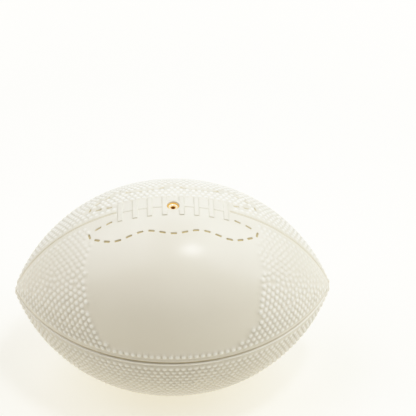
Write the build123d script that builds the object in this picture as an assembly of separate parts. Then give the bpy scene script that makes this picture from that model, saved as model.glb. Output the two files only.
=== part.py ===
from build123d import *
import os
from math import atan2, cos, degrees, radians, sin, sqrt

os.makedirs("parts", exist_ok=True)

# A small inflated football of flexible vinyl. The origin is the ball's centre, +X runs along the
# long axis from tip to tip, and +Z points out through the laces and the valve. All sizes are in mm.

# ---- Driving dimensions: inflated skin ------------------------------------------------------
LENGTH = 152.4            # tip to tip
DIAMETER = 104.0          # at the widest place, midway between the tips
MIDDLE_ARC = 86.7         # radius of the outline's middle arc
MIDDLE_HALF_ANGLE = 10.8  # degrees of that arc on each side of the middle
TIP_ROUND = 3.0           # radius of the rounded tips
WALL = 2.2                # skin thickness
TIP_WALL = 4.0            # skin thickness at the tips, where vinyl collects in the mould

# ---- Driving dimensions: seams moulded between the four panels --------------------------------
SEAM_WIDTH = 0.9
SEAM_DEPTH = 0.6
CUT_MARGIN = 1.0          # how far cutting solids stand out of the surface

# ---- Driving dimensions: moulded laces, across the seam at the top ----------------------------
LACE_BARS_PER_SIDE = 4    # bars on each side of the valve
LACE_PITCH = 6.9
LACE_VALVE_GAP = 8.0      # centre to centre of the two bars beside the valve
LACE_WIDTH = 2.2
LACE_REACH = 6.35         # measured round the skin, from the seam to a bar's end
LACE_RISE = 0.45
LACE_ROOT = 0.8           # how far the laces are rooted in the skin
LACE_STRIP_WIDTH = 2.0    # the strip along the seam that links the bars
LACE_STRIP_RISE = 0.25

# ---- Driving dimensions: dashed stitch outline round the laces ---------------------------------
# One quarter of the outline, as (distance along X from the valve, distance round the skin from the
# seam). The other three quarters are its mirror images.
STITCH_ROUTE = [(0, 16.9), (13, 14.6), (26.5, 16.9), (35.5, 13.2), (39.3, 9.2), (36, 7.0), (30, 5.6)]
STITCH_START = (1, 0)     # the route's direction at its two ends
STITCH_END = (-1, -0.15)
STITCH_COUNT = 11         # dashes in one quarter, the shared one at the valve included
STITCH_LENGTH = 3.0
STITCH_WIDTH = 0.7
STITCH_DEPTH = 0.45

# ---- Driving dimensions: inflation valve, on the Z axis ----------------------------------------
BOSS_DIAMETER = 13.0      # thickened skin round the valve, inside the ball
BOSS_DEPTH = 8.0          # from the outer surface to the boss's inner face
MOUTH_RECESS = 0.6        # the sleeve's lip lies this far under the outer surface
SLEEVE_DIAMETER = 5.8
SLEEVE_LIP_ROUND = 0.35
FLANGE_DIAMETER = 9.5     # inner flange that keeps the air from pushing the valve out
FLANGE_THICKNESS = 1.6
CORE_DIAMETER = 4.2
CORE_RECESS = 0.35        # the core's rim lies this far under the sleeve's lip
DISH_DEPTH = 0.45         # countersink that guides the needle
DISH_MOUTH_DIAMETER = 3.6
NEEDLE_DIAMETER = 2.0     # pilot hole, line to line with an inflation needle
NEEDLE_HOLE_LENGTH = 6.0
CORE_TAIL = 2.6           # closed rubber under the pilot hole, which the needle parts

# ---- Outline of the skin, worked out: three tangent arcs from the middle to each tip -----------
HALF_LENGTH = LENGTH / 2
RADIUS = DIAMETER / 2
TURN = radians(MIDDLE_HALF_ANGLE)
MIDDLE_CENTRE_Y = RADIUS - MIDDLE_ARC
JOINT_X = MIDDLE_ARC * sin(TURN)
JOINT_Y = MIDDLE_CENTRE_Y + MIDDLE_ARC * cos(TURN)
TIP_CENTRE_X = HALF_LENGTH - TIP_ROUND
REACH_X = JOINT_X - TIP_CENTRE_X
SHOULDER_ARC = ((REACH_X ** 2 + JOINT_Y ** 2 - TIP_ROUND ** 2)
                / (2 * (REACH_X * sin(TURN) + JOINT_Y * cos(TURN) - TIP_ROUND)))
SHOULDER_CENTRE_X = JOINT_X - SHOULDER_ARC * sin(TURN)
SHOULDER_CENTRE_Y = JOINT_Y - SHOULDER_ARC * cos(TURN)
TIP_ANGLE = degrees(atan2(-SHOULDER_CENTRE_Y, TIP_CENTRE_X - SHOULDER_CENTRE_X))

# ---- Heights of the valve, from the outer surface inwards --------------------------------------
LIP_Z = RADIUS - MOUTH_RECESS
BOSS_Z = RADIUS - BOSS_DEPTH
CORE_RIM_Z = LIP_Z - CORE_RECESS
DISH_Z = CORE_RIM_Z - DISH_DEPTH
NEEDLE_HOLE_END_Z = DISH_Z - NEEDLE_HOLE_LENGTH
CORE_END_Z = NEEDLE_HOLE_END_Z - CORE_TAIL


def skin_radius(x):
    """Radius of the outer skin at a distance x from the ball's middle, short of the tips."""
    if abs(x) <= JOINT_X:
        return MIDDLE_CENTRE_Y + sqrt(MIDDLE_ARC ** 2 - x ** 2)
    return SHOULDER_CENTRE_Y + sqrt(SHOULDER_ARC ** 2 - (abs(x) - SHOULDER_CENTRE_X) ** 2)


def skin_point(x, arc):
    """Point of the outer skin: x along the ball, arc round it from the lace seam towards -Y."""
    radius = skin_radius(x)
    angle = arc / radius
    return Vector(x, -radius * sin(angle), radius * cos(angle))


def spindle(offset=0.0):
    """The ball's shape as a solid, grown by the offset everywhere, or shrunk by a negative one."""
    top = 90 - MIDDLE_HALF_ANGLE
    tip_x = HALF_LENGTH + offset
    arcs = [
        CenterArc((TIP_CENTRE_X, 0), TIP_ROUND + offset, 0, TIP_ANGLE),
        CenterArc((SHOULDER_CENTRE_X, SHOULDER_CENTRE_Y), SHOULDER_ARC + offset, TIP_ANGLE, top - TIP_ANGLE),
        CenterArc((0, MIDDLE_CENTRE_Y), MIDDLE_ARC + offset, top, MIDDLE_HALF_ANGLE),
    ]
    outline = Wire(arcs + [arc.mirror(Plane.YZ) for arc in arcs] + [Line((tip_x, 0), (-tip_x, 0))])
    return revolve(make_face(outline), Axis.X, 360)


def drum(diameter, low, high):
    """Cylinder on the Z axis between two heights."""
    return Pos(0, 0, (low + high) / 2) * Cylinder(diameter / 2, high - low)


def seam_cutters():
    """Two slabs that cut a groove along all four seams and end SEAM_DEPTH under the surface."""
    rind = spindle(CUT_MARGIN) - spindle(-SEAM_DEPTH)
    size = LENGTH + 4 * CUT_MARGIN
    return [rind & Box(size, SEAM_WIDTH, size), rind & Box(size, size, SEAM_WIDTH)]


def lace_band(x_low, x_high, rise):
    """Section in the XZ plane that follows the skin between two places, from root to crest."""
    low, high = skin_radius(x_low), skin_radius(x_high)
    corners = [(x_low, 0, low - LACE_ROOT), (x_high, 0, high - LACE_ROOT),
               (x_high, 0, high + rise), (x_low, 0, low + rise)]
    return make_face(Polyline(*corners, close=True))


def lace_bar(x):
    """One cross bar, bent round the skin across the seam."""
    half_angle = degrees(LACE_REACH / skin_radius(x))
    band = lace_band(x - LACE_WIDTH / 2, x + LACE_WIDTH / 2, LACE_RISE)
    return Rot(-half_angle, 0, 0) * revolve(band, Axis.X, 2 * half_angle)


def laces():
    """Cross bars on both sides of the valve, and the strip along the seam that links them."""
    places = [LACE_VALVE_GAP / 2 + i * LACE_PITCH for i in range(LACE_BARS_PER_SIDE)]
    solids = [lace_bar(side * x) for x in places for side in (1, -1)]
    for near, far in zip(places, places[1:]):
        for low, high in ((near, far), (-far, -near)):
            solids.append(extrude(lace_band(low, high, LACE_STRIP_RISE), LACE_STRIP_WIDTH / 2, both=True))
    return solids


def stitch_slot(x, arc, along_x, along_arc):
    """Cutter for one dash, centred on the skin and lying along the given direction."""
    middle = skin_point(x, arc)
    x_dir = skin_point(x + along_x, arc + along_arc) - middle
    across = skin_point(x - along_arc, arc + along_x) - middle
    seat = Plane(origin=middle, x_dir=x_dir, z_dir=x_dir.cross(across))
    return seat * Box(STITCH_LENGTH, STITCH_WIDTH, 2 * STITCH_DEPTH)


def stitch_cutters():
    """Evenly spaced dashes along the outline, in all four quarters."""
    route = Spline(*STITCH_ROUTE, tangents=[STITCH_START, STITCH_END])
    slots = []
    for i in range(STITCH_COUNT):
        distance = route.length * i / (STITCH_COUNT - 1)
        place = route.position_at(distance, position_mode=PositionMode.LENGTH)
        along = route.tangent_at(distance, position_mode=PositionMode.LENGTH)
        for x_side in (1, -1) if i else (1,):
            for arc_side in (1, -1):
                slots.append(stitch_slot(x_side * place.X, arc_side * place.Y,
                                         x_side * along.X, arc_side * along.Y))
    return slots


def make_shell():
    """Hollow vinyl skin with its seams, laces, stitch outline and valve boss."""
    skin = spindle() - seam_cutters() + laces()
    skin -= stitch_cutters()
    hollow = spindle(-WALL) & Box(LENGTH - 2 * TIP_WALL, DIAMETER, DIAMETER)
    hollow -= drum(BOSS_DIAMETER, BOSS_Z, RADIUS)
    return skin - hollow - drum(SLEEVE_DIAMETER, 0, RADIUS + CUT_MARGIN)


def make_valve_sleeve():
    """Rubber housing: a tube with a rounded lip, and a flange behind the boss."""
    sleeve = drum(SLEEVE_DIAMETER, CORE_END_Z, LIP_Z)
    sleeve += drum(FLANGE_DIAMETER, BOSS_Z - FLANGE_THICKNESS, BOSS_Z)
    sleeve -= drum(CORE_DIAMETER, CORE_END_Z, LIP_Z)
    lip_edges = sleeve.edges().filter_by(GeomType.CIRCLE).group_by(Axis.Z)[-1]
    return fillet(lip_edges, SLEEVE_LIP_ROUND)


def make_valve_core():
    """Rubber plug: a dished face, a pilot hole for the needle and a closed tail."""
    plug = drum(CORE_DIAMETER, CORE_END_Z, CORE_RIM_Z)
    dish = Cone(NEEDLE_DIAMETER / 2, DISH_MOUTH_DIAMETER / 2, DISH_DEPTH)
    plug -= Pos(0, 0, (CORE_RIM_Z + DISH_Z) / 2) * dish
    return plug - drum(NEEDLE_DIAMETER, NEEDLE_HOLE_END_Z, CORE_RIM_Z)


export_step(make_shell(), "parts/shell.step")
export_step(make_valve_sleeve(), "parts/valve_sleeve.step")
export_step(make_valve_core(), "parts/valve_core.step")
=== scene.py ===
import math

import bmesh
import bpy
import numpy as np
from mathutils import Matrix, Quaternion, Vector
from mathutils.geometry import delaunay_2d_cdt
from mathutils.kdtree import KDTree


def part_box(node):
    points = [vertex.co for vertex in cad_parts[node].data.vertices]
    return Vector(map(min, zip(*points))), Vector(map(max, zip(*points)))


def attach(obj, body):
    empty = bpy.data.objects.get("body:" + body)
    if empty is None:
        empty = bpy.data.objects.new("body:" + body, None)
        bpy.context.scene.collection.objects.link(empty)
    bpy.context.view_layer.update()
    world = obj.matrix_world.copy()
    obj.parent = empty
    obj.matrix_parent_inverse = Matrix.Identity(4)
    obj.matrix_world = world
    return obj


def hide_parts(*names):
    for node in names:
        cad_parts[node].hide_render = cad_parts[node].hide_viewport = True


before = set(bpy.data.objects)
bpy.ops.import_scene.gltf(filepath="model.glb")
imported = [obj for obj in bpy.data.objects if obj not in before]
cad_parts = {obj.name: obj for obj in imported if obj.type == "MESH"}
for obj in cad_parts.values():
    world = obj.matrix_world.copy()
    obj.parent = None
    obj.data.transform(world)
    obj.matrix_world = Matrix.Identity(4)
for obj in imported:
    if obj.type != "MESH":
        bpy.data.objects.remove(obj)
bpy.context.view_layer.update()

# A small inflated vinyl football. The ball is worked out in millimetres and made in metres.
# A place on the skin is (run, turn): run is the distance along the outline from the ball's middle
# towards +X, and turn is the angle round the long axis, from the lace seam (+Z) towards -Y.
MM = 0.001
shell_low, shell_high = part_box("shell")
HALF_LENGTH = (shell_high.x - shell_low.x) / 2 / MM
RADIUS = (shell_high.y - shell_low.y) / 2 / MM

# ---- Outline: three tangent arcs from the middle to each tip, as on the CAD shell ---------------
MIDDLE_ARC = 86.7
MIDDLE_HALF_ANGLE = math.radians(10.8)
TIP_ROUND = 3.0
WALL = 2.2
TIP_WALL = 4.0
TIP_POINTS = 24               # points round each tip
TIP_HOLE_RADIUS = 0.7         # the lattice of the skin ends here, and a small cap closes the tip
INNER_RINGS = 34              # rings of points on the inner surface, from tip to tip
OUTLINE_SAMPLES = 1500        # samples of each arc in the outline's tables
SLACK = 1e-9                  # for comparing angles

# ---- Seams ------------------------------------------------------------------------------------
QUARTER = math.pi / 2
SEAM_GROOVE_DEPTHS = (0.3, 0.42, 0.55, 0.55)   # laces, front, belly, back
# Share of the painted shade in each seam's groove: laces, front, belly, back
SEAM_PAINTED_SHADE = (0.35, 1, 0.8, 0.8)
FULL_PANEL = 16.0             # a seam keeps its full size where the panels are at least this wide
LEAST_SEAM = 0.25             # share of its size that a seam keeps at the tips
SEAM_GROOVE_WIDTH = 0.55      # where the groove has lost most of its depth
SEAM_GROOVE_POWER = 2.2
SEAM_LIP_RISE = 0.32
SEAM_LIP_PLACE = 1.35
SEAM_LIP_WIDTH = 0.85
SEAM_LIP_SHARES = (0.5, 0.42)      # the lip's place and width are at most these shares of the margin
FRONT_LIP_RISE = 0.5          # lip of the belly panel, under the front seam
FRONT_LIP_PLACE = 0.9
FRONT_LIP_CREST = 0.5
FRONT_WALL_REACH = 0.4        # the groove's painted shade fades out over its lower wall, which faces the light, to here
SEAM_STATION = 0.95           # spacing of the mesh's rows along a seam
SEAM_ROWS = (0.0, 0.18, 0.34, 0.5, 0.66, 0.85, 1.1, 1.4, 1.75, 2.2)
SEAM_ROW_SHARE = 0.4          # share of a panel that the rows may take near the tips
# Smooth margin on the low-turn and the high-turn side of each seam: laces, front, belly, back
SEAM_MARGINS = ((1.2, 2.4), (2.4, 2.4), (0.9, 3.3), (0.9, 3.3))

# ---- Pebble grain ------------------------------------------------------------------------------
BEAD_PITCH = 2.9
BEAD_RISE = 0.6
BEAD_DOME_POWER = 2.4
BEAD_NEIGHBOURS = 4           # the nearest beads that set the size of a bead's foot
BEAD_RINGS = ((0.45, 6), (0.8, 10))      # share of the foot's radius, and mesh points round the bead
BEAD_PAINTED_LIGHT = ((0, 0.45, 0.8, 1.35), (1, 0.85, -1, 0))     # shares of the foot's radius, and painted light: painted highlight above 0, painted shade below 0
BEAD_TOUCH = 1.4              # beads this many times their feet apart share a point in the gap
BEAD_ROWS = 16                # most rows from a seam to the middle of a panel
BEAD_SCATTER = 0.12           # random shift along a row, in pitches
BEAD_TIP_RADIUS = 2.6         # no beads where the ball is thinner than this
BEAD_TIP_GAP = 1.2
BEAD_MIDDLE_GAP = 0.3         # pitches kept free on each side of a panel's middle line at the start
BEAD_TAPER_POWER = 0.3        # how fast the beads' distance from the margin shrinks to the tips
BEAD_STITCH_GAP = 0.9
GRAIN_SEED = 7
GRAIN_TURNS = (-math.pi, -QUARTER, -0.2, 0.0, 0.3, 0.6, 0.9, 1.3, math.pi)
GRAIN_STRENGTHS = (1.6, 1.5, 1.4, 0.8, 0.25, 0.35, 1.0, 1.6, 1.8)
GRAIN_BASE = 0.4              # share of a bead's rise that doesn't depend on the strength
RELAX_STEPS = 70
RELAX_RATE = 0.22
RELAX_REACH = 1.12            # beads closer than this many pitches push each other apart

# ---- Smooth imprint area, centred on the panel between the laces and the front seam -------------
IMPRINT_TURN = math.pi / 4
IMPRINT_HALF_LENGTH = 41.0
IMPRINT_HALF_WIDTH = 40.0
IMPRINT_POWER = 3.0
IMPRINT_SEAM_GAP = 4.9        # the front seam keeps its beads this far from it, imprint or not

# ---- Laces --------------------------------------------------------------------------------------
LACE_BARS_PER_SIDE = 4
LACE_PITCH = 6.9
LACE_VALVE_GAP = 8.0
LACE_WIDTH = 2.2
LACE_REACH = 6.35
LACE_RISE = 0.5
LACE_STRIP_HALF_WIDTH = 1.0
LACE_STRIP_RISE = 0.28
LACE_EDGE = 0.16              # width of a moulded edge's slope
LACE_EDGE_LINES = (-0.12, -0.04, 0.04, 0.12)     # mesh lines on both sides of a moulded edge
LACE_BORDER = 0.8             # plain skin round the laces that belongs to their part of the mesh
LACE_BEAD_GAP = 1.0

# ---- Stitch outline -------------------------------------------------------------------------------
STITCH_ROUTE = [(0, 16.9), (13, 14.6), (26.5, 16.9), (35.5, 13.2), (39.3, 9.2), (36, 7.0), (30, 5.6)]
STITCH_COUNT = 11
STITCH_LENGTH = 3.0
STITCH_WIDTH = 0.95
STITCH_DEPTH = 0.6
STITCH_EDGE = 0.16
STITCH_REACH = (45, 22)       # all dashes lie within these distances along X and round the skin
CURVE_STEPS = 40              # steps between two points of the route
APRON_POINTS = 5              # the route's points that bound the plain skin in front of the laces
APRON_GAP = 0.9

# ---- Valve ------------------------------------------------------------------------------------------
MOUTH_RADIUS = 2.9
BOSS_RADIUS = 6.5
BOSS_DEPTH = 8.0
RUBBER_DEPTH = 4.0            # painted shade makes the valve's rubber darkest from here down
RING_POINTS = 48
MOUTH_RINGS = (2.9, 2.98, 3.1, 3.3, 3.6, 4.0)
MOUTH_LEVEL = 0.18            # the skin round the hole stands between the laces' two heights
MOUTH_LEVEL_RADIUS = 4.0
MOUTH_LEVEL_SLOPE = 0.5
MOUTH_EDGE_RADIUS = 3.2       # the hole's edge is rounded from here inwards
MOUTH_EDGE_ROUND = 0.3
SLEEVE_PAINTED_SHADE = ((0.5, (0.80, 0.44, 0.06)), (2.0, (0.55, 0.2, 0.02)))   # depth in mm, and colour; the darkening with depth is painted shade down the bore
# The core's pale face is a painted highlight; its darker stops are painted shade down the needle hole.
CORE_PAINTED_HIGHLIGHT_AND_SHADE = ((0.9, (0.95, 0.86, 0.62)), (1.35, (0.85, 0.45, 0.08)), (2.2, (0.35, 0.07, 0.01)))

# ---- Mesh gaps: how far the bead lattice stays off the other parts of the mesh ---------------------
SEAM_GAP = 0.15
TIP_GAP = 0.3
STITCH_GAP = 0.55
VALVE_GAP = 0.2
BOSS_GAP = 2.0
NOWHERE_NEAR = 99             # distance from the valve given to places under the ball

# ---- Vinyl ------------------------------------------------------------------------------------------
HOLLOW = 0.05                 # grooves and dashes deeper than this share get painted shade
# Painted shade in the gaps, grooves and dashes, then the plain vinyl, then painted highlight on the beads'
# crowns and the front lip
PAINTED_SHADE_COLOUR = (0.53, 0.42, 0.21)
SKIN_COLOUR = (0.80, 0.738, 0.605)
PAINTED_HIGHLIGHT_COLOUR = (0.92, 0.875, 0.77)
CLOUD_COLOUR = (0.97, 0.965, 0.955)
WHITE = (1, 1, 1)

# ---- Stage, in metres -------------------------------------------------------------------------------
FLOOR_SIZE = 6
FLOOR_GAP = 0.001             # under the plain skin, so that the proudest beads clear the floor
FLOOR_GREY = (0.5, 0.5, 0.5, 1)
FLOOR_GLOW_COLOUR = (1, 0.93, 0.74, 1)
FLOOR_GLOW = {"From Min": 0.25, "From Max": 0.55, "To Min": 0.64, "To Max": 0.85}
BACKDROP_COLOUR = (0.97, 0.97, 0.96, 1)
# Name, place, width, power in watts and colour of each square softbox. All face the ball.
SOFTBOXES = (("spot", (0.22, -0.15, 1.07), 0.15, 2.9, WHITE),
             ("key", (0.80, 0.05, 0.80), 1.1, 11.8, (0.90, 0.95, 1)),
             ("fill", (-0.68, 0.08, 0.86), 1.1, 10.0, (0.93, 0.95, 1)),
             ("rear", (0, 0.75, 0.75), 0.8, 2.6, (0.6, 0.8, 1)))
FILM_CURVE = ((0, 0), (0.308, 0.4), (0.462, 0.593), (0.615, 0.762), (0.769, 0.895), (0.885, 0.964), (1, 1))
FILM_WHITE = 1.3
CAMERA_ELEVATION = math.radians(43)
CAMERA_AZIMUTH = math.radians(-1.25)
CAMERA_DISTANCE = 0.870
CAMERA_LENS = 154.8
CAMERA_ROLL = math.radians(1.1)
AIM_RIGHT = 0.0170            # the camera looks this far beside the ball's middle
AIM_UP = 0.0384


# ================================ outline of the ball ================================

def outline_tables():
    """Samples of one half of the outline: its run, distance along X, radius, normal's angle and
    conformal run, which is the run measured in local radii."""
    joint_x = MIDDLE_ARC * math.sin(MIDDLE_HALF_ANGLE)
    joint_y = RADIUS - MIDDLE_ARC + MIDDLE_ARC * math.cos(MIDDLE_HALF_ANGLE)
    tip_x = HALF_LENGTH - TIP_ROUND
    reach = joint_x - tip_x
    along, out = math.sin(MIDDLE_HALF_ANGLE), math.cos(MIDDLE_HALF_ANGLE)
    shoulder = reach ** 2 + joint_y ** 2 - TIP_ROUND ** 2
    shoulder /= 2 * (reach * along + joint_y * out - TIP_ROUND)
    centre_x, centre_y = joint_x - shoulder * along, joint_y - shoulder * out
    tip_angle = QUARTER - math.atan2(-centre_y, tip_x - centre_x)
    arcs = [(0, RADIUS - MIDDLE_ARC, MIDDLE_ARC, 0, MIDDLE_HALF_ANGLE),
            (centre_x, centre_y, shoulder, MIDDLE_HALF_ANGLE, tip_angle),
            (tip_x, 0, TIP_ROUND, tip_angle, QUARTER)]
    rows = []
    for x0, y0, size, first, last in arcs:
        angle = np.linspace(first, last, OUTLINE_SAMPLES)[:-1]
        rows.append(np.stack([x0 + size * np.sin(angle), y0 + size * np.cos(angle), angle], axis=1))
    x, radius, angle = np.concatenate(rows).T
    run = np.concatenate([[0], np.cumsum(np.hypot(np.diff(x), np.diff(radius)))])
    middle = (radius[1:] + radius[:-1]) / 2
    conformal = np.concatenate([[0], np.cumsum(np.diff(run) / middle)])
    return run, x, radius, angle, conformal


RUN, AXIAL, GIRTH, LEAN, CONFORMAL = outline_tables()
RUN_END = float(np.interp(-TIP_HOLE_RADIUS, -GIRTH, RUN))


def girth(run):
    """Radius of the ball at a run."""
    return np.interp(np.abs(run), RUN, GIRTH)


def axial(run):
    """Distance along X at a run."""
    return np.sign(run) * np.interp(np.abs(run), RUN, AXIAL)


def run_at(x):
    """Run at a distance along X."""
    return np.sign(x) * np.interp(np.abs(x), AXIAL, RUN)


def flat(places):
    """Conformal map of the skin: a cylinder's net, on which small circles stay circles."""
    run, turn = places[:, 0], places[:, 1]
    return np.stack([np.sign(run) * np.interp(np.abs(run), RUN, CONFORMAL), turn], axis=1)


def lean_at(run):
    """Angle of the skin's normal from square to the long axis."""
    return np.sign(run) * np.interp(np.abs(run), RUN, LEAN)


def normals(places):
    run, turn = places[:, 0], places[:, 1]
    lean = lean_at(run)
    return np.stack([np.sin(lean), -np.cos(lean) * np.sin(turn), np.cos(lean) * np.cos(turn)], axis=1)


def points(places, height=0.0):
    """Points of the skin, lifted along its normal."""
    run, turn = places[:, 0], places[:, 1]
    radius = girth(run)
    base = np.stack([axial(run), -radius * np.sin(turn), radius * np.cos(turn)], axis=1)
    return base + normals(places) * np.reshape(height, (-1, 1))


def places_at(x, arc):
    """Places given by the distance along X and the distance round the skin from the lace seam."""
    x, arc = np.broadcast_arrays(np.asarray(x, float), np.asarray(arc, float))
    run = run_at(x.ravel())
    return np.stack([run, arc.ravel() / girth(run)], axis=1)


def x_and_arc(places):
    """Distance along X, and distance round the skin from the lace seam, of each place."""
    return axial(places[:, 0]), places[:, 1] * girth(places[:, 0])


def triangles(places):
    """Delaunay triangles between places, as rows of their indices, seen from outside the ball."""
    net = [Vector(p) for p in flat(places).tolist()]
    _, _, faces, origins, _, _ = delaunay_2d_cdt(net, [], [], 0, SLACK, True)
    first = np.array([o[0] for o in origins])
    return first[np.array(faces)][:, ::-1]


def edges_of(faces):
    """Every edge of the triangles once, as rows of two indices."""
    edges = np.vstack([faces[:, [0, 1]], faces[:, [1, 2]], faces[:, [2, 0]]])
    return np.unique(np.sort(edges, axis=1), axis=0)


# ================================ moulded features ================================

def seam_offset(places):
    """Nearest seam's number (0 laces, 1 front, 2 belly, 3 back) and the signed distance from it."""
    run, turn = places[:, 0], places[:, 1]
    nearest = np.round(turn / QUARTER)
    return nearest.astype(int) % 4, (turn - nearest * QUARTER) * girth(run)


def margins(run):
    """Share of its full size that a seam keeps, since the panels taper to the tips."""
    return np.clip(girth(run) * QUARTER / FULL_PANEL, LEAST_SEAM, 1)


def smooth_step(edge, width, value):
    """0 below the edge and 1 above it, with a soft slope of the given width."""
    t = np.clip((value - edge) / width + 0.5, 0, 1)
    return t * t * (3 - 2 * t)


def groove_shape(places):
    """Share of the nearest seam's groove depth at each place."""
    _, offset = seam_offset(places)
    width = SEAM_GROOVE_WIDTH * margins(places[:, 0]) ** 0.5
    return np.exp(-(np.abs(offset) / width) ** SEAM_GROOVE_POWER)


def front_lip_painted_highlight(places):
    """Painted highlight along the crest of the lip under the front seam: 1 on the crest, 0 away from it.
    """
    number, offset = seam_offset(places)
    reach = (offset - FRONT_LIP_PLACE * margins(places[:, 0])) / FRONT_LIP_CREST
    return np.where((number == 1) & (offset > 0), np.exp(-reach ** 2), 0)


def seam_height(places):
    """Height of the nearest seam's groove and its rounded lips."""
    number, offset = seam_offset(places)
    taper = margins(places[:, 0])
    margin = np.array(SEAM_MARGINS)[number, (offset > 0).astype(int)] * taper
    place = np.minimum(SEAM_LIP_PLACE * taper, margin * SEAM_LIP_SHARES[0])
    width = np.minimum(SEAM_LIP_WIDTH * taper, margin * SEAM_LIP_SHARES[1])
    under = (number == 1) & (offset > 0)
    place = np.where(under, FRONT_LIP_PLACE * taper, place)
    width = np.where(under, FRONT_LIP_CREST * taper, width)
    rise = np.where(under, FRONT_LIP_RISE, SEAM_LIP_RISE)
    lip = rise * taper * np.exp(-((np.abs(offset) - place) / width) ** 2)
    return lip - np.array(SEAM_GROOVE_DEPTHS)[number] * taper * groove_shape(places)


def lace_bar_places():
    """Distances along X of the cross bars, from -X to +X."""
    side = [LACE_VALVE_GAP / 2 + i * LACE_PITCH for i in range(LACE_BARS_PER_SIDE)]
    return [-x for x in reversed(side)] + side


LACE_BARS = lace_bar_places()
LACE_END = LACE_BARS[-1] + LACE_WIDTH / 2 + LACE_BORDER
LACE_SIDE = LACE_REACH + LACE_BORDER


def in_lace_area(x, arc):
    return (np.abs(x) < LACE_END) & (np.abs(arc) < LACE_SIDE)


def lace_height(x, arc):
    """Height of the cross bars and the strip between them."""
    bar = np.zeros_like(x)
    for place in LACE_BARS:
        inside = np.minimum(LACE_WIDTH / 2 - np.abs(x - place), LACE_REACH - np.abs(arc))
        bar = np.maximum(bar, LACE_RISE * smooth_step(0, LACE_EDGE, inside))
    reach = np.minimum(LACE_BARS[-1] - np.abs(x), np.abs(x) - LACE_BARS[LACE_BARS_PER_SIDE])
    inside = np.minimum(LACE_STRIP_HALF_WIDTH - np.abs(arc), reach)
    return np.maximum(bar, LACE_STRIP_RISE * smooth_step(0, LACE_EDGE, inside))


def smooth_line(route):
    """Fine points of a smooth curve through the route's points, which runs level at its start."""
    route = np.array(route, float)
    ends = np.array([[-route[1][0], route[1][1]], 2 * route[-1] - route[-2]])
    knots = np.vstack([ends[:1], route, ends[1:]])
    t = np.linspace(0, 1, CURVE_STEPS, endpoint=False)[:, None]
    pieces = []
    for a, b, c, d in zip(knots, knots[1:], knots[2:], knots[3:]):
        pieces.append(0.5 * (2 * b + (c - a) * t + (2 * a - 5 * b + 4 * c - d) * t ** 2
                             + (3 * b - a - 3 * c + d) * t ** 3))
    return np.vstack(pieces + [route[-1:]])


def spline_points(route, count, nudge=0.1):
    """Evenly spaced points and directions along a smooth curve through the route's points."""
    line = smooth_line(route)
    lengths = np.concatenate([[0], np.cumsum(np.hypot(*np.diff(line, axis=0).T))])
    want = np.linspace(0, lengths[-1], count)
    behind, spot, ahead = (
        np.stack([np.interp(want + shift, lengths, line[:, k]) for k in (0, 1)], axis=1)
        for shift in (-nudge, 0, nudge))
    return spot, (ahead - behind) / np.linalg.norm(ahead - behind, axis=1, keepdims=True)


def stitches():
    """Middle and direction of every dash, in all four quarters, as (x, arc) pairs."""
    spots, ways = spline_points(STITCH_ROUTE, STITCH_COUNT)
    dashes = []
    for i, (spot, way) in enumerate(zip(spots, ways)):
        for x_side in (1, -1) if i else (1,):
            for arc_side in (1, -1):
                flip = np.array([x_side, arc_side])
                dashes.append((spot * flip, way * flip))
    return dashes


STITCHES = stitches()


def dash_frame(x, arc, dash):
    """Distances along and across a dash."""
    (x0, arc0), (way_x, way_arc) = dash
    dx, darc = x - x0, arc - arc0
    return dx * way_x + darc * way_arc, darc * way_x - dx * way_arc


def round_the_laces(x, arc):
    """Indices of the places that are near enough to the laces to touch a dash."""
    return np.flatnonzero((np.abs(x) < STITCH_REACH[0]) & (np.abs(arc) < STITCH_REACH[1]))


def stitch_shape(places):
    """Share of the dashes' depth at each place."""
    x, arc = x_and_arc(places)
    depth = np.zeros_like(x)
    near = round_the_laces(x, arc)
    for dash in STITCHES:
        along, across = dash_frame(x[near], arc[near], dash)
        past = np.maximum(np.abs(along) - (STITCH_LENGTH - STITCH_WIDTH) / 2, 0)
        inside = STITCH_WIDTH / 2 - np.hypot(past, across)
        depth[near] = np.maximum(depth[near], smooth_step(0, STITCH_EDGE, inside))
    return depth


def near_stitch(x, arc, gap):
    """Whether each place is within a gap of a dash."""
    found = np.zeros(len(x), bool)
    near = round_the_laces(x, arc)
    for dash in STITCHES:
        along, across = dash_frame(x[near], arc[near], dash)
        close = np.abs(along) < STITCH_LENGTH / 2 + gap
        found[near] |= close & (np.abs(across) < STITCH_WIDTH / 2 + gap)
    return found


def is_smooth(x, arc, turn):
    """Whether a bead would lie on the imprint area, inside the near stitch outline or on the laces."""
    across = (turn - IMPRINT_TURN) * RADIUS
    imprint = ((np.abs(x) / IMPRINT_HALF_LENGTH) ** IMPRINT_POWER
               + (np.abs(across) / IMPRINT_HALF_WIDTH) ** IMPRINT_POWER) < 1
    outline = np.array(STITCH_ROUTE[:APRON_POINTS])
    outer = np.interp(np.abs(x), outline[:, 0], outline[:, 1] + APRON_GAP, right=0)
    apron = (arc > 0) & (arc < outer)
    laces = (np.abs(x) < LACE_END + LACE_BEAD_GAP) & (np.abs(arc) < LACE_REACH + LACE_BEAD_GAP)
    return imprint | apron | laces


# ================================ bead lattice ================================

def first_beads(low_seam, high_seam, low_side, high_side):
    """Beads of one panel in rows that follow its two seams, whose margins are the two sides."""
    places = []
    chance = np.random.default_rng(GRAIN_SEED)
    row_pitch = BEAD_PITCH * math.sqrt(0.75)
    stations = np.arange(-RUN_END, RUN_END, BEAD_PITCH)
    for seam, margin, sign in ((low_seam, low_side, 1), (high_seam, high_side, -1)):
        for row in range(BEAD_ROWS):
            run = stations + (row % 2) * BEAD_PITCH / 2
            offset = (margin * margins(run) + BEAD_PITCH / 2) + row * row_pitch
            turn = offset / girth(run)
            keep = turn < QUARTER / 2 - BEAD_MIDDLE_GAP * BEAD_PITCH / girth(run)
            keep &= girth(run) > BEAD_TIP_RADIUS
            places.append(np.stack([run[keep], seam + sign * turn[keep]], axis=1))
    places = np.vstack(places)
    places[:, 0] += chance.normal(0, BEAD_SCATTER * BEAD_PITCH, len(places))
    return places


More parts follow.
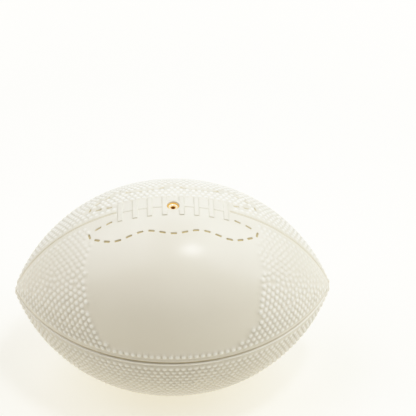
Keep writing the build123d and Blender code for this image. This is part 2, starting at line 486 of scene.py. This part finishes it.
def pushes(spots, edges):
    """Sum of the pushes that each bead gets from neighbours closer than the reach."""
    gap = spots[edges[:, 0]] - spots[edges[:, 1]]
    length = np.linalg.norm(gap, axis=1)
    push = gap * (np.maximum(BEAD_PITCH * RELAX_REACH - length, 0) / np.maximum(length, 1e-6))[:, None]
    move = np.zeros_like(spots)
    np.add.at(move, edges[:, 0], push)
    np.add.at(move, edges[:, 1], -push)
    return move


def directions(places):
    """Unit vectors along the outline and round the ball, at each place."""
    run, turn = places.T
    lean = lean_at(run)
    along = np.stack([np.cos(lean), np.sin(lean) * np.sin(turn), -np.sin(lean) * np.cos(turn)], axis=1)
    around = np.stack([np.zeros_like(turn), -np.cos(turn), -np.sin(turn)], axis=1)
    return along, around


def relax(places, low_seam, high_seam, low_side, high_side):
    """Beads that are too close push each other apart, and none may leave the panel's margins."""
    limit = RUN_END - BEAD_TIP_GAP
    for _ in range(RELAX_STEPS):
        move = pushes(points(places), edges_of(triangles(places)))
        along, around = directions(places)
        run, turn = places.T
        run = run + RELAX_RATE * np.sum(move * along, axis=1)
        turn = turn + RELAX_RATE * np.sum(move * around, axis=1) / girth(run)
        run = np.clip(run, -limit, limit)
        taper = margins(run)
        foot = BEAD_PITCH / 2 * taper ** BEAD_TAPER_POWER
        turn = np.maximum(turn, low_seam + (low_side * taper + foot) / girth(run))
        turn = np.minimum(turn, high_seam - (high_side * taper + foot) / girth(run))
        places = np.stack([run, turn], axis=1)
    return places


def bead_sites():
    """All bead places on the ball, panel by panel."""
    panels = []
    for number in range(4):
        low_seam = (number - 2) * QUARTER
        low_number, high_number = (number - 2) % 4, (number - 1) % 4
        sides = (SEAM_MARGINS[low_number][1], SEAM_MARGINS[high_number][0])
        panel = first_beads(low_seam, low_seam + QUARTER, *sides)
        panels.append(relax(panel, low_seam, low_seam + QUARTER, *sides))
    return np.vstack(panels)


def is_bead(sites):
    """Whether each place of the lattice carries a bead."""
    run, turn = sites.T
    x, arc = x_and_arc(sites)
    grained = ~is_smooth(x, arc, turn)
    front_row = (turn > 0) & (turn < QUARTER) & ((QUARTER - turn) * girth(run) < IMPRINT_SEAM_GAP)
    return (grained | front_row) & ~near_stitch(x, arc, BEAD_STITCH_GAP)


def bead_feet(sites, beads):
    """Foot radius of every bead: half the mean distance to its nearest neighbours."""
    spots = points(sites)
    tree = kd_tree(spots)
    feet = np.zeros(len(sites))
    for i in np.flatnonzero(beads):
        near = [distance for _, _, distance in tree.find_n(spots[i].tolist(), BEAD_NEIGHBOURS + 1)][1:]
        feet[i] = min(sum(near) / len(near) / 2, BEAD_PITCH / 2)
    return feet


def kd_tree(spots):
    tree = KDTree(len(spots))
    for i, spot in enumerate(spots.tolist()):
        tree.insert(spot, i)
    tree.balance()
    return tree


def bead_points(sites, beads, feet):
    """Mesh points that shape the beads: two rings on each dome, and points in the gaps between."""
    found = [sites]
    for share, count in BEAD_RINGS:
        for angle in np.arange(count) * 2 * math.pi / count + share:
            run_step = np.full(len(sites), math.cos(angle))
            turn_step = math.sin(angle) / girth(sites[:, 0])
            step = np.stack([run_step, turn_step], axis=1) * (share * feet)[:, None]
            found.append((sites + step)[beads])
    faces = triangles(sites)
    a, b = edges_of(faces).T
    length = np.linalg.norm(points(sites[a]) - points(sites[b]), axis=1)
    touching = beads[a] & beads[b] & (length < BEAD_TOUCH * (feet[a] + feet[b]))
    found.append(((sites[a] + sites[b]) / 2)[touching])
    found.append(sites[faces].mean(axis=1)[beads[faces].any(axis=1)])
    return np.vstack(found)


def bead_strength(sites):
    """The grain is weakest between the laces and the imprint area, and strongest round the belly. It
    scales both the beads' rise and their painted shade and highlight.
    """
    return np.interp(sites[:, 1], GRAIN_TURNS, GRAIN_STRENGTHS)


def bead_relief(places, sites, beads, feet):
    """Height of the nearest bead at each place, and its painted light: a painted highlight above 0 on
    the crown, painted shade below 0 round the foot and 0 away from it."""
    tree = kd_tree(points(sites[beads]))
    foot, strength = feet[beads], bead_strength(sites[beads])
    full_rise = foot / (BEAD_PITCH / 2)
    rise = np.zeros(len(places))
    bead_painted_light = np.zeros(len(places))
    for i, spot in enumerate(points(places).tolist()):
        _, index, distance = tree.find(spot)
        share = distance / foot[index]
        dome = max(1 - share ** BEAD_DOME_POWER, 0)
        rise[i] = full_rise[index] * dome * (GRAIN_BASE + (1 - GRAIN_BASE) * strength[index])
        bead_painted_light[i] = np.interp(share, *BEAD_PAINTED_LIGHT) * strength[index]
    return BEAD_RISE * rise, bead_painted_light


# ================================ mesh of the skin ================================

def seam_points():
    """Rows of points along each seam, closest together at the groove."""
    stations = np.linspace(-RUN_END, RUN_END, int(2 * RUN_END / SEAM_STATION) + 1)
    found = []
    for number in (-2, 2, -1, 0, 1):
        for row in SEAM_ROWS:
            for sign in (1, -1) if row else (1,):
                turn = number * QUARTER + sign * row / girth(stations)
                keep = (row < seam_reach(stations)) & (np.abs(turn) <= math.pi + SLACK)
                if number == 0:
                    keep &= np.abs(axial(stations)) > LACE_END
                found.append(np.stack([stations, turn], axis=1)[keep])
    return np.vstack(found)


def seam_reach(run):
    """How far from a seam its rows of mesh points go."""
    return np.minimum(SEAM_ROWS[-1] + 0.1, girth(run) * QUARTER * SEAM_ROW_SHARE)


def lace_points():
    """Grid over the laces, with lines on both sides of every moulded edge."""
    edge = np.array(LACE_EDGE_LINES)
    # Lines across the ball: three on each bar's top, four between two bars, one past each end
    bar = np.concatenate([edge - LACE_WIDTH / 2, [-0.6, 0, 0.6], edge + LACE_WIDTH / 2])
    x_lines = [place + bar for place in LACE_BARS]
    x_lines += [np.linspace(low + 1.8, high - 1.8, 4) for low, high in zip(LACE_BARS, LACE_BARS[1:])]
    x_lines += [[LACE_END - 0.3, 0.3 - LACE_END]]
    # Lines along the ball: on the strip, on the bars beside it and round the bars' ends
    side = np.concatenate([[0.0, 0.5], edge + LACE_STRIP_HALF_WIDTH, np.linspace(1.6, LACE_REACH - 0.6, 7),
                           edge + LACE_REACH, [LACE_SIDE - 0.3]])
    x, arc = np.meshgrid(np.concatenate(x_lines), np.concatenate([-side[1:], side]))
    grid = places_at(x, arc)
    return grid[valve_distance(grid) > MOUTH_RINGS[-1] + VALVE_GAP]


def stitch_points():
    """Small grid round every dash."""
    half, wide = STITCH_LENGTH / 2, STITCH_WIDTH / 2
    # Lines on the dash's floor, on both sides of its edge and a little outside it
    along = np.array([0.3, 0.8, half - 0.24, half - 0.06, half + 0.1, half + 0.4])
    across = np.array([0.0, wide - 0.22, wide - 0.08, wide + 0.08, wide + 0.35])
    grid = np.meshgrid(np.concatenate([-along, along]), np.concatenate([-across[1:], across]))
    grid_along, grid_across = (g.ravel() for g in grid)
    found = []
    for (x0, arc0), (way_x, way_arc) in STITCHES:
        found.append(places_at(x0 + grid_along * way_x - grid_across * way_arc,
                               arc0 + grid_along * way_arc + grid_across * way_x))
    return np.vstack(found)


RING_ANGLES = np.arange(RING_POINTS) * 2 * math.pi / RING_POINTS


def ring_places(radius):
    """Places on a circle round the valve's axis."""
    run = run_at(radius * np.cos(RING_ANGLES))
    return np.stack([run, np.arcsin(-radius * np.sin(RING_ANGLES) / girth(run))], axis=1)


def valve_distance(places):
    """Distance from the valve's axis. Places under the ball are nowhere near it."""
    spots = points(places)
    return np.where(spots[:, 2] > 0, np.hypot(spots[:, 0], spots[:, 1]), NOWHERE_NEAR)


def tip_points():
    """Points round the small hole at each tip."""
    ends = np.linspace(-math.pi, math.pi, TIP_POINTS + 1)
    return np.vstack([np.stack([np.full_like(ends, end), ends], axis=1) for end in (-RUN_END, RUN_END)])


def open_skin(places):
    """Whether each place is clear of the seams, laces, dashes and tips."""
    x, arc = x_and_arc(places)
    _, offset = seam_offset(places)
    clear = np.abs(offset) > seam_reach(places[:, 0]) + SEAM_GAP
    clear &= np.abs(places[:, 0]) < RUN_END - TIP_GAP
    return clear & ~in_lace_area(x, arc) & ~near_stitch(x, arc, STITCH_GAP)


def without_repeats(places):
    """The places in the same order, with the second of two equal ones left out."""
    key = np.round(places / [1e-4, 1e-5]).astype(np.int64)
    _, first = np.unique(key, axis=0, return_index=True)
    return places[np.sort(first)]


def skin_places(sites, beads, feet):
    """All places of the outer surface's mesh. The first are the ring round the valve's opening."""
    lattice = bead_points(sites, beads, feet)
    rings = [ring_places(radius) for radius in MOUTH_RINGS]
    fixed = [*rings, tip_points(), seam_points(), lace_points(), stitch_points()]
    return without_repeats(np.vstack([*fixed, lattice[open_skin(lattice)]]))


def mouth_height(distance):
    """Rounded edge of the valve's hole."""
    return -MOUTH_EDGE_ROUND * np.clip((MOUTH_EDGE_RADIUS - distance) / MOUTH_EDGE_ROUND, 0, 1) ** 2


def height(places):
    """Height of seams, laces, dashes and the level ring round the valve, above the plain skin."""
    x, arc = x_and_arc(places)
    value = np.where(in_lace_area(x, arc), lace_height(x, arc), seam_height(places))
    value = value - STITCH_DEPTH * stitch_shape(places)
    distance = valve_distance(places)
    outside = smooth_step(MOUTH_LEVEL_RADIUS, MOUTH_LEVEL_SLOPE, distance)
    return MOUTH_LEVEL * (1 - outside) + value * outside + mouth_height(distance)


def closed_net(places, faces):
    """Faces with the net's two edges joined under the ball."""
    joined = np.arange(len(places))
    low = np.flatnonzero(places[:, 1] < SLACK - math.pi)
    high = np.flatnonzero(places[:, 1] > math.pi - SLACK)
    joined[high[np.argsort(places[high, 0])]] = low[np.argsort(places[low, 0])]
    return joined[faces]


class Skin:
    """Vertices and triangles of one closed mesh, put together from parts."""

    def __init__(self):
        self.vertices = []
        self.faces = []
        self.count = 0

    def add(self, vertices, faces=()):
        """Adds vertices and the triangles between them, and gives the vertices' indices."""
        first = self.count
        self.vertices.append(vertices)
        self.count += len(vertices)
        if len(faces):
            self.faces.append(np.array(faces) + first)
        return np.arange(first, self.count)

    def wall(self, ring, next_ring):
        """Triangles between two rings with the same number of points."""
        after, next_after = np.roll(ring, -1), np.roll(next_ring, -1)
        self.faces.append(np.stack([ring, after, next_ring], axis=1))
        self.faces.append(np.stack([after, next_after, next_ring], axis=1))

    def cap(self, ring, tip):
        """Triangles from a ring to one new point."""
        centre = self.add(np.array([tip], float))[0]
        self.faces.append(np.stack([ring, np.roll(ring, -1), np.full(len(ring), centre)], axis=1))

    def piece(self, name, painted_shading):
        """The finished object in metres, with its painted shade and highlight for the material."""
        mesh = bpy.data.meshes.new(name)
        mesh.from_pydata((np.vstack(self.vertices) * MM).tolist(), [], np.vstack(self.faces).tolist())
        mesh.polygons.foreach_set("use_smooth", [True] * len(mesh.polygons))
        # The mesh carries its painted shade and highlight as a point attribute.
        layer = mesh.attributes.new("painted_light", "FLOAT", "POINT")
        layer.data.foreach_set("value", painted_shading.astype(np.float32))
        keep_used_vertices(mesh)
        mesh.update()
        piece = bpy.data.objects.new(name, mesh)
        bpy.context.scene.collection.objects.link(piece)
        return piece


def keep_used_vertices(mesh):
    """Deletes the loose vertices and turns all normals outwards."""
    work = bmesh.new()
    work.from_mesh(mesh)
    bmesh.ops.delete(work, geom=[v for v in work.verts if not v.link_faces], context="VERTS")
    bmesh.ops.recalc_face_normals(work, faces=work.faces)
    work.to_mesh(mesh)
    work.free()


def tip_ring(places, end):
    """Indices of the places where the net ends at a tip, in order round the ball."""
    ring = np.flatnonzero((np.abs(places[:, 0] - end) < 1e-6) & (places[:, 1] < math.pi - SLACK))
    return ring[np.argsort(places[ring, 1])]


def without_mouth(faces, ring_size):
    """Faces outside the valve's opening, whose ring is the first of the places."""
    return faces[(faces >= ring_size).any(axis=1)]


def add_surface(skin, places, lift, limit, tips):
    """One surface of the wall with its two capped tips, from places whose first ring is its opening."""
    faces = without_mouth(closed_net(places, triangles(places)), RING_POINTS)
    vertices = points(places, lift)
    vertices[:, 0] = np.clip(vertices[:, 0], -limit, limit)
    indices = skin.add(vertices, faces)
    for end in (-RUN_END, RUN_END):
        skin.cap(indices[tip_ring(places, end)], (math.copysign(tips, end), 0, 0))
    return indices


def inner_places():
    """Places of the inner surface: a coarse grid with a round opening at the boss."""
    runs = np.linspace(-RUN_END, RUN_END, INNER_RINGS)
    turns = np.linspace(-math.pi, math.pi, TIP_POINTS + 1)
    grid = np.stack(np.meshgrid(runs, turns), axis=-1).reshape(-1, 2)
    ring = ring_places(BOSS_RADIUS * RADIUS / (RADIUS - WALL))
    return np.vstack([ring, grid[valve_distance(grid) > BOSS_RADIUS + BOSS_GAP]])


def flat_ring(radius, z):
    """Points on a level circle round the valve's axis."""
    x, y = radius * np.cos(RING_ANGLES), radius * np.sin(RING_ANGLES)
    return np.stack([x, y, np.full(RING_POINTS, z)], axis=1)


def make_shell():
    """The skin with its relief, its inner surface, and the boss with the valve's bore between them."""
    sites = bead_sites()
    beads = is_bead(sites)
    feet = bead_feet(sites, beads)
    places = skin_places(sites, beads, feet)
    bumps, bead_painted_light = bead_relief(places, sites, beads, feet)
    skin = Skin()
    outer = add_surface(skin, places, height(places) + bumps, 2 * HALF_LENGTH, HALF_LENGTH)
    inner = add_surface(skin, inner_places(), -WALL, HALF_LENGTH - TIP_WALL, HALF_LENGTH - TIP_WALL)
    bore = skin.add(flat_ring(MOUTH_RADIUS, RADIUS - BOSS_DEPTH))
    boss = skin.add(flat_ring(BOSS_RADIUS, RADIUS - BOSS_DEPTH))
    skin.wall(outer[:RING_POINTS], bore)
    skin.wall(bore, boss)
    skin.wall(boss, inner[:RING_POINTS])
    # Painted shade and highlight: none (0.5) inside and in the bore, and from the relief on the outer
    # skin.
    painted_shading = np.full(skin.count, 0.5)
    painted_shading[outer] = painted_shade_and_highlight(places, bead_painted_light)
    return skin.piece("shell_skin", painted_shading)


def painted_shade_and_highlight(places, bead_painted_light):
    """Painted shade and highlight: 0 is painted shade in the gaps, grooves and dashes, 0.5 is plain skin
    and 1 is a painted highlight on the beads' crowns and the front lip.
    """
    x, arc = x_and_arc(places)
    number, offset = seam_offset(places)
    # Painted shade in the seams' grooves and the dashes; none on the laces.
    groove = np.where(in_lace_area(x, arc), 0, groove_shape(places)) * np.array(SEAM_PAINTED_SHADE)[number]
    # The front seam's lower wall faces the light, so its painted shade fades out there.
    lower_wall = (number == 1) & (offset > 0)
    groove *= np.where(lower_wall, np.interp(offset, (0, FRONT_WALL_REACH), (1, 0)), 1)
    painted_shade = np.maximum(groove, stitch_shape(places))
    return 0.5 + 0.5 * np.where(painted_shade > HOLLOW, -painted_shade, np.maximum(bead_painted_light, front_lip_painted_highlight(places)))


# ================================ materials ================================

def colour_ramp(nodes, *stops):
    """Colour ramp with a stop for each (place, colour)."""
    node = nodes.new("ShaderNodeValToRGB")
    elements = node.color_ramp.elements
    while len(elements) < len(stops):
        elements.new(0.5)
    for element, (place, colour) in zip(elements, stops):
        element.position = place
        element.color = (*colour, 1)
    return node


def new_material(name, roughness):
    """A material with its nodes, links and surface shader."""
    material = bpy.data.materials.new(name)
    material.use_nodes = True
    nodes, links = material.node_tree.nodes, material.node_tree.links
    shader = nodes["Principled BSDF"]
    shader.inputs["Roughness"].default_value = roughness
    return material, nodes, links, shader


def vinyl_material():
    """Ivory vinyl with painted shade, darker and warmer, in the relief's hollows, painted highlights on
    the beads' crowns and the front lip, and faintly clouded.
    """
    material, nodes, links, shader = new_material("ivory_vinyl", roughness=0.27)
    shader.inputs["Specular IOR Level"].default_value = 0.32
    coordinates = nodes.new("ShaderNodeTexCoord")
    clouds = nodes.new("ShaderNodeTexNoise")
    clouds.inputs["Scale"].default_value = 25
    clouds.inputs["Detail"].default_value = 3
    links.new(coordinates.outputs["Object"], clouds.inputs["Vector"])
    haze = colour_ramp(nodes, (0.3, CLOUD_COLOUR), (0.7, WHITE))
    links.new(clouds.outputs["Fac"], haze.inputs["Fac"])
    painted_light = nodes.new("ShaderNodeAttribute")
    painted_light.attribute_name = "painted_light"
    # Ramp from painted shade through plain vinyl to painted highlight.
    skin = colour_ramp(nodes, (0, PAINTED_SHADE_COLOUR), (0.5, SKIN_COLOUR), (1, PAINTED_HIGHLIGHT_COLOUR))
    links.new(painted_light.outputs["Fac"], skin.inputs["Fac"])
    tint = nodes.new("ShaderNodeMix")
    tint.data_type = "RGBA"
    tint.blend_type = "MULTIPLY"
    tint.inputs["Factor"].default_value = 1
    links.new(skin.outputs["Color"], tint.inputs["A"])
    links.new(haze.outputs["Color"], tint.inputs["B"])
    links.new(tint.outputs["Result"], shader.inputs["Base Color"])
    return material


def rubber_with_painted_light(name, stops):
    """Gum rubber whose colour changes with the depth under the skin: painted shade darkens it down the
    valve's hole, and a paler stop is a painted highlight. Depths are in mm.
    """
    material, nodes, links, shader = new_material(name, roughness=0.12)
    place = nodes.new("ShaderNodeNewGeometry")
    split = nodes.new("ShaderNodeSeparateXYZ")
    depth = nodes.new("ShaderNodeMapRange")
    depth.inputs["From Min"].default_value = RADIUS * MM
    depth.inputs["From Max"].default_value = (RADIUS - RUBBER_DEPTH) * MM
    links.new(place.outputs["Position"], split.inputs["Vector"])
    links.new(split.outputs["Z"], depth.inputs["Value"])
    painted_shading = colour_ramp(nodes, *[(under / RUBBER_DEPTH, colour) for under, colour in stops])
    links.new(depth.outputs["Result"], painted_shading.inputs["Fac"])
    links.new(painted_shading.outputs["Color"], shader.inputs["Base Color"])
    return material


def dress(node, material):
    """Puts a material on one of the CAD's own meshes."""
    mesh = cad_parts[node].data
    mesh.materials.clear()
    mesh.materials.append(material)


# ================================ stage ================================

def floor_material():
    """White floor that glows evenly under the ball, and a little more farther out."""
    material, nodes, links, shader = new_material("floor_white", roughness=0.8)
    shader.inputs["Base Color"].default_value = FLOOR_GREY
    shader.inputs["Emission Color"].default_value = FLOOR_GLOW_COLOUR
    coordinates = nodes.new("ShaderNodeTexCoord")
    length = nodes.new("ShaderNodeVectorMath")
    length.operation = "LENGTH"
    links.new(coordinates.outputs["Object"], length.inputs[0])
    glow = nodes.new("ShaderNodeMapRange")
    for setting, value in FLOOR_GLOW.items():
        glow.inputs[setting].default_value = value
    links.new(length.outputs["Value"], glow.inputs["Value"])
    links.new(glow.outputs["Result"], shader.inputs["Emission Strength"])
    return material


def floor():
    bpy.ops.mesh.primitive_plane_add(size=FLOOR_SIZE, location=(0, 0, -RADIUS * MM - FLOOR_GAP))
    plane = bpy.context.object
    plane.name = "floor"
    plane.data.materials.append(floor_material())


def backdrop():
    """Pale background that the camera sees and that throws no light on the ball."""
    world = bpy.data.worlds.new("studio")
    bpy.context.scene.world = world
    world.use_nodes = True
    world.node_tree.nodes["Background"].inputs["Color"].default_value = BACKDROP_COLOUR
    for ray in ("diffuse", "glossy", "transmission", "scatter"):
        setattr(world.cycles_visibility, ray, False)


def softbox(name, place, width, power, colour):
    """Square lamp that faces the ball's middle."""
    light = bpy.data.lights.new(name, "AREA")
    light.shape = "SQUARE"
    light.size = width
    light.energy = power
    light.color = colour
    lamp = bpy.data.objects.new(name, light)
    bpy.context.scene.collection.objects.link(lamp)
    lamp.location = place
    lamp.rotation_euler = (Vector() - Vector(place)).to_track_quat("-Z", "Y").to_euler()


def film_response():
    """Bright tones roll off softly, as on film, instead of clipping."""
    view = bpy.context.scene.view_settings
    view.view_transform = "Standard"
    view.use_curve_mapping = True
    mapping = view.curve_mapping
    mapping.white_level = (FILM_WHITE, FILM_WHITE, FILM_WHITE)
    knots = mapping.curves[3].points
    while len(knots) < len(FILM_CURVE):
        knots.new(0.5, 0.5)
    for knot, place in zip(knots, FILM_CURVE):
        knot.location = place
    mapping.update()


def camera():
    """Looks down at the front and the laces through a long lens."""
    level = Vector((math.sin(CAMERA_AZIMUTH), -math.cos(CAMERA_AZIMUTH), 0))
    back = level * math.cos(CAMERA_ELEVATION) + Vector((0, 0, math.sin(CAMERA_ELEVATION)))
    right = Vector((0, 0, 1)).cross(back).normalized()
    up = back.cross(right)
    data = bpy.data.cameras.new("camera")
    data.lens = CAMERA_LENS
    data.sensor_width = 36
    lens = bpy.data.objects.new("camera", data)
    bpy.context.scene.collection.objects.link(lens)
    lens.location = back * CAMERA_DISTANCE
    aim = (right * AIM_RIGHT + up * AIM_UP) - lens.location
    lens.rotation_mode = "QUATERNION"
    lens.rotation_quaternion = aim.to_track_quat("-Z", "Y") @ Quaternion((0, 0, 1), CAMERA_ROLL)
    bpy.context.scene.camera = lens


shell = make_shell()
shell.data.materials.append(vinyl_material())
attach(shell, "root")
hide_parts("shell")
# Amber sleeve with painted shade down its bore, and core with a painted highlight on its face and painted
# shade down its hole.
dress("valve_sleeve", rubber_with_painted_light("amber_rubber", SLEEVE_PAINTED_SHADE))
dress("valve_core", rubber_with_painted_light("rubber_painted_highlight", CORE_PAINTED_HIGHLIGHT_AND_SHADE))

floor()
backdrop()
for lamp in SOFTBOXES:
    softbox(*lamp)
camera()
film_response()
